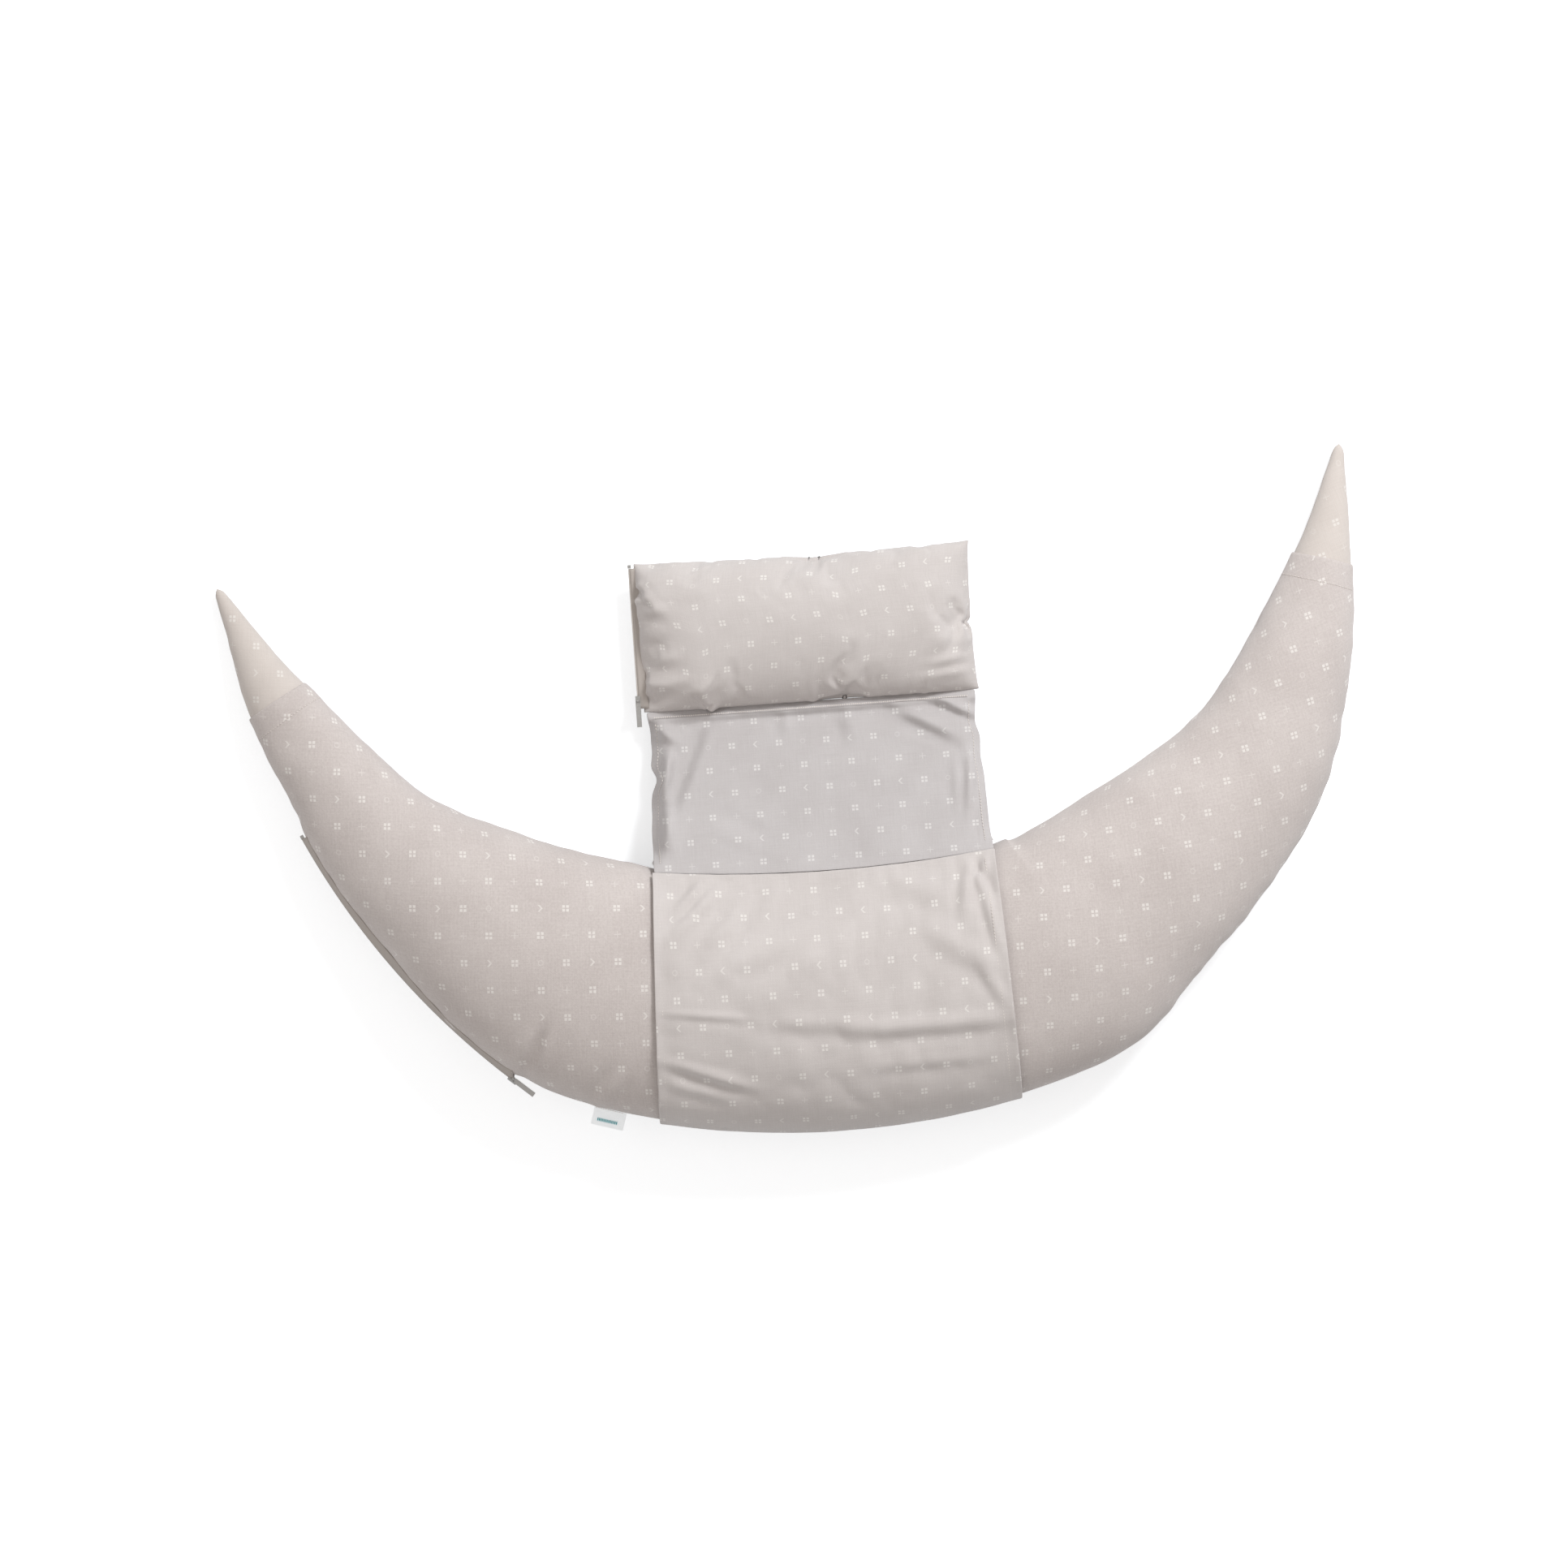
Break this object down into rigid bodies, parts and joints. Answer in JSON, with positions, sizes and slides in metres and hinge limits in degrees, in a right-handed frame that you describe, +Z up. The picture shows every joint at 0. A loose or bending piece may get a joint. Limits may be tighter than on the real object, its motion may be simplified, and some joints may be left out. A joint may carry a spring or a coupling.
{
  "type": "nursing pillow",
  "caption": "Crescent body pillow in a printed zip-off cover, with a sliding sleeve that carries a flat panel and a small belly cushion between the arms.",
  "frame": {"origin": "on the floor, at the flat underside of the sleeve round the middle of the crescent", "axes": "+X runs across the two tips, towards the right arm; +Y runs from the crescent's outer edge towards the tips and the belly cushion; +Z is up"},
  "size_m": [1.1544, 0.6459, 0.148],
  "materials": {
    "printed_cotton": "matte printed greige cotton, plain weave",
    "wing_cotton": "matte printed greige cotton, plain weave",
    "lining": "undyed non-woven casing",
    "fibre_filling": "white hollow polyester fibre",
    "zip_tape": "woven polyester zip tape",
    "zip_coil": "pale nylon coil",
    "zip_metal": "satin zinc alloy",
    "satin_label": "white woven satin tape"
  },
  "bodies": {
    "middle": {"middle_filling": "fibre_filling", "middle_liner": "lining", "middle_cover_top": "printed_cotton", "middle_cover_bottom": "printed_cotton"},
    "left_arm": {"left_arm_filling": "fibre_filling", "left_arm_liner": "lining", "left_arm_cover_top": "printed_cotton", "left_arm_cover_bottom": "printed_cotton", "left_tip_hood": "printed_cotton", "arm_zip_tape_upper": "zip_tape", "arm_zip_tape_lower": "zip_tape", "arm_zip_coil": "zip_coil", "arm_zip_start_stop": "zip_metal", "arm_zip_end_stop": "zip_metal"},
    "right_arm": {"right_arm_filling": "fibre_filling", "right_arm_liner": "lining", "right_arm_cover_top": "printed_cotton", "right_arm_cover_bottom": "printed_cotton", "right_tip_hood": "printed_cotton"},
    "sleeve": {"sleeve_front": "wing_cotton", "sleeve_under": "wing_cotton"},
    "panel": {"panel_front_ply": "wing_cotton", "panel_back_ply": "wing_cotton"},
    "cushion": {"cushion_filling": "fibre_filling", "cushion_liner_front": "lining", "cushion_liner_back": "lining", "cushion_cover_front": "wing_cotton", "cushion_cover_back": "wing_cotton", "cushion_zip_tape_front": "zip_tape", "cushion_zip_tape_back": "zip_tape", "cushion_zip_coil": "zip_coil", "cushion_zip_start_stop": "zip_metal", "cushion_zip_end_stop": "zip_metal"},
    "arm_zip_slider": {"arm_zip_slider": "zip_metal"},
    "arm_zip_puller": {"arm_zip_puller": "zip_metal"},
    "cushion_zip_slider": {"cushion_zip_slider": "zip_metal"},
    "cushion_zip_puller": {"cushion_zip_puller": "zip_metal"},
    "label": {"woven_label": "satin_label"}
  },
  "joints": [
    {"name": "left_arm_bend", "type": "hinge", "parent": "middle", "child": "left_arm", "pos_m": [-0.24629, 0.03476, 0.07], "axis": [0, 0, 1], "range_deg": [-35, 10]},
    {"name": "right_arm_bend", "type": "hinge", "parent": "middle", "child": "right_arm", "pos_m": [0.24629, 0.03476, 0.07], "axis": [0, 0, 1], "range_deg": [-10, 35]},
    {"name": "sleeve_shift", "type": "hinge", "parent": "middle", "child": "sleeve", "pos_m": [0, 0.66, 0.07], "axis": [0, 0, 1], "range_deg": [-2, 2]},
    {"name": "panel_fold", "type": "hinge", "parent": "sleeve", "child": "panel", "pos_m": [0, 0.146, 0.09], "axis": [1, 0, 0], "range_deg": [-50, 112]},
    {"name": "cushion_fold", "type": "hinge", "parent": "panel", "child": "cushion", "pos_m": [0, 0.295, 0.028], "axis": [1, 0, 0], "range_deg": [-80, 80]},
    {"name": "arm_zip_travel", "type": "hinge", "parent": "left_arm", "child": "arm_zip_slider", "pos_m": [0.19385, 0.52369, -0.07655], "axis": [-0.0778, -0.1666, -0.983], "range_deg": [0, 22.7]},
    {"name": "arm_zip_puller_swing", "type": "hinge", "parent": "arm_zip_slider", "child": "arm_zip_puller", "pos_m": [-0.32686, -0.06277, 0.07024], "axis": [-0.6532, -0.7363, 0.1765], "range_deg": [0, 165]},
    {"name": "cushion_zip_travel", "type": "slide", "parent": "cushion", "child": "cushion_zip_slider", "axis": [0, 1, 0], "range_m": [0, 0.128]},
    {"name": "cushion_zip_puller_swing", "type": "hinge", "parent": "cushion_zip_slider", "child": "cushion_zip_puller", "pos_m": [-0.1752, 0.308, 0.0341], "axis": [-1, 0, 0], "range_deg": [0, 165]},
    {"name": "label_flap", "type": "hinge", "parent": "middle", "child": "label", "pos_m": [-0.23125, -0.10114, 0.06624], "axis": [0.9568, -0.2907, 0], "range_deg": [-75, 75]}
  ]
}
